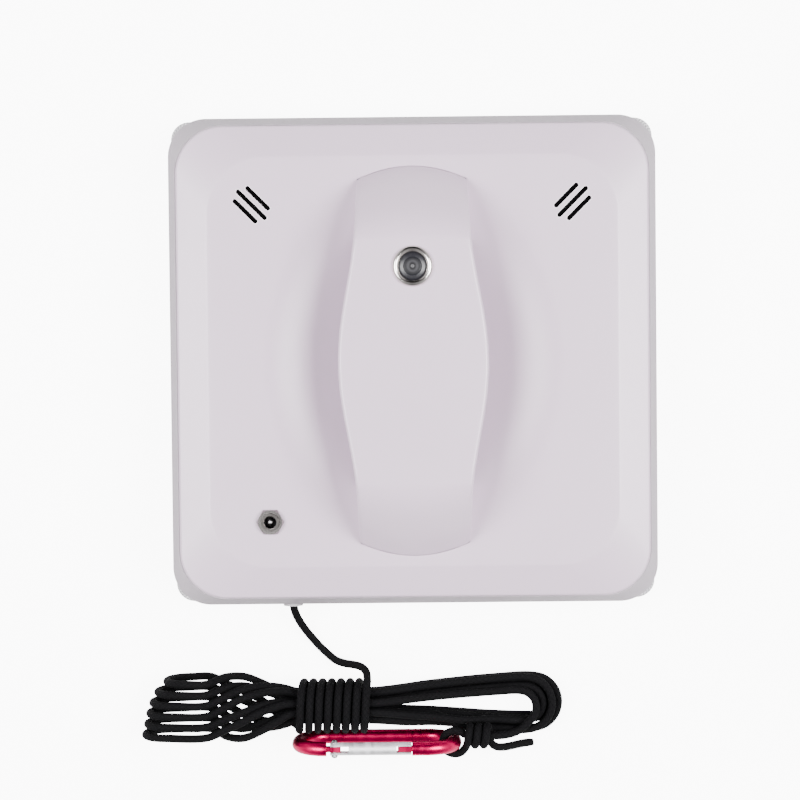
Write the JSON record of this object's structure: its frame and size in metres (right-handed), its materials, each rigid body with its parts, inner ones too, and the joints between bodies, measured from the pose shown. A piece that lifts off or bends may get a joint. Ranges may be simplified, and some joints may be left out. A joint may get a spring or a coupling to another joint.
{
  "type": "window cleaning robot",
  "caption": "Square window cleaning robot with a bridge handle, finger dish, side power button, tracks and cleaning cloth, on a safety rope wound in a hank with a carabiner.",
  "frame": {"origin": "middle of the square footprint of the body, on the glass that the cleaning cloth lies on; the safety rope isn't counted", "axes": "+Z points away from the glass through the handle, +Y is the end with the power button, -Y the end where the rope leaves, +X is to the right seen from above with the button end up"},
  "size_m": [0.2575, 0.3174, 0.0891],
  "materials": {
    "white_shell": "satin white with a warm grey cast",
    "grey_frame": "fine matte grey",
    "pale_inner": "moulded, matte",
    "grey_inner": "moulded, matte",
    "black_plastic": "moulded, matte",
    "button_dark": "smooth dark dome",
    "cloth": "short-pile microfibre with a stitched edge",
    "chrome": "bright plated",
    "brass": "turned",
    "steel": "plain",
    "rubber": "moulded rubber",
    "cell_wrap": "shrink film",
    "board": "solder mask",
    "rope": "braided cord",
    "red_aluminium": "red anodised",
    "gate_aluminium": "bare, satin"
  },
  "bodies": {
    "machine": {"top_cover": "white_shell", "side_frame": "grey_frame", "chassis_plate": "pale_inner", "pad_frame": "grey_inner", "cleaning_cloth": "cloth", "handle_shell": "white_shell", "handle_underside": "white_shell", "button_bezel": "chrome", "button_nut": "steel", "switch_block": "black_plastic", "socket_sleeve": "chrome", "socket_base": "black_plastic", "socket_nut": "chrome", "socket_pin": "brass", "vent_gauzes": "black_plastic", "inlet_grille": "black_plastic", "fan_volute": "grey_inner", "fan_motor": "steel", "left_belt": "rubber", "left_idler_axle": "steel", "left_gearbox": "grey_inner", "left_motor": "steel", "right_belt": "rubber", "right_idler_axle": "steel", "right_gearbox": "grey_inner", "right_motor": "steel", "battery_cells": "cell_wrap", "battery_tray": "black_plastic", "main_board": "board", "base_screws": "steel", "handle_screws": "steel", "rope_grommet": "rubber", "rope_anchor": "grey_inner", "rope_lead": "rope", "rope_hank": "rope", "rope_tail": "rope", "rope_knot": "rope", "rope_end": "rope", "carabiner_body": "red_aluminium", "gate_rivet": "steel"},
    "power_button": {"button_cap": "button_dark"},
    "fan_rotor": {"fan_impeller": "black_plastic"},
    "left_drive": {"left_drive_wheel": "black_plastic"},
    "left_idler": {"left_idler_wheel": "black_plastic"},
    "right_drive": {"right_drive_wheel": "black_plastic"},
    "right_idler": {"right_idler_wheel": "black_plastic"},
    "gate": {"carabiner_gate": "gate_aluminium"}
  },
  "joints": [
    {"name": "power_button_press", "type": "slide", "parent": "machine", "child": "power_button", "axis": [0, 0, -1], "range_m": [0, 0.0012], "stiffness_N_per_m": 300, "springref_m": -0.001},
    {"name": "fan_spin", "type": "hinge", "parent": "machine", "child": "fan_rotor", "pos_m": [0, 0, 0.02], "axis": [0, 0, 1], "continuous": true},
    {"name": "left_drive_spin", "type": "hinge", "parent": "machine", "child": "left_drive", "pos_m": [-0.062, -0.048, 0.0128], "axis": [1, 0, 0], "continuous": true},
    {"name": "left_idler_spin", "type": "hinge", "parent": "machine", "child": "left_idler", "pos_m": [-0.062, 0.048, 0.0128], "axis": [1, 0, 0], "continuous": true},
    {"name": "right_drive_spin", "type": "hinge", "parent": "machine", "child": "right_drive", "pos_m": [0.062, -0.048, 0.0128], "axis": [1, 0, 0], "continuous": true},
    {"name": "right_idler_spin", "type": "hinge", "parent": "machine", "child": "right_idler", "pos_m": [0.062, 0.048, 0.0128], "axis": [1, 0, 0], "continuous": true},
    {"name": "gate_swing", "type": "hinge", "parent": "machine", "child": "gate", "pos_m": [-0.0405, -0.1895, 0.0345], "axis": [0, 1, 0], "range_deg": [0, 25], "stiffness_Nm_per_rad": 0.02, "springref_deg": -17.19}
  ],
  "couplings": [
    {"joint": "left_idler_spin", "follows": "left_drive_spin", "ratio": 1},
    {"joint": "right_idler_spin", "follows": "right_drive_spin", "ratio": 1}
  ]
}
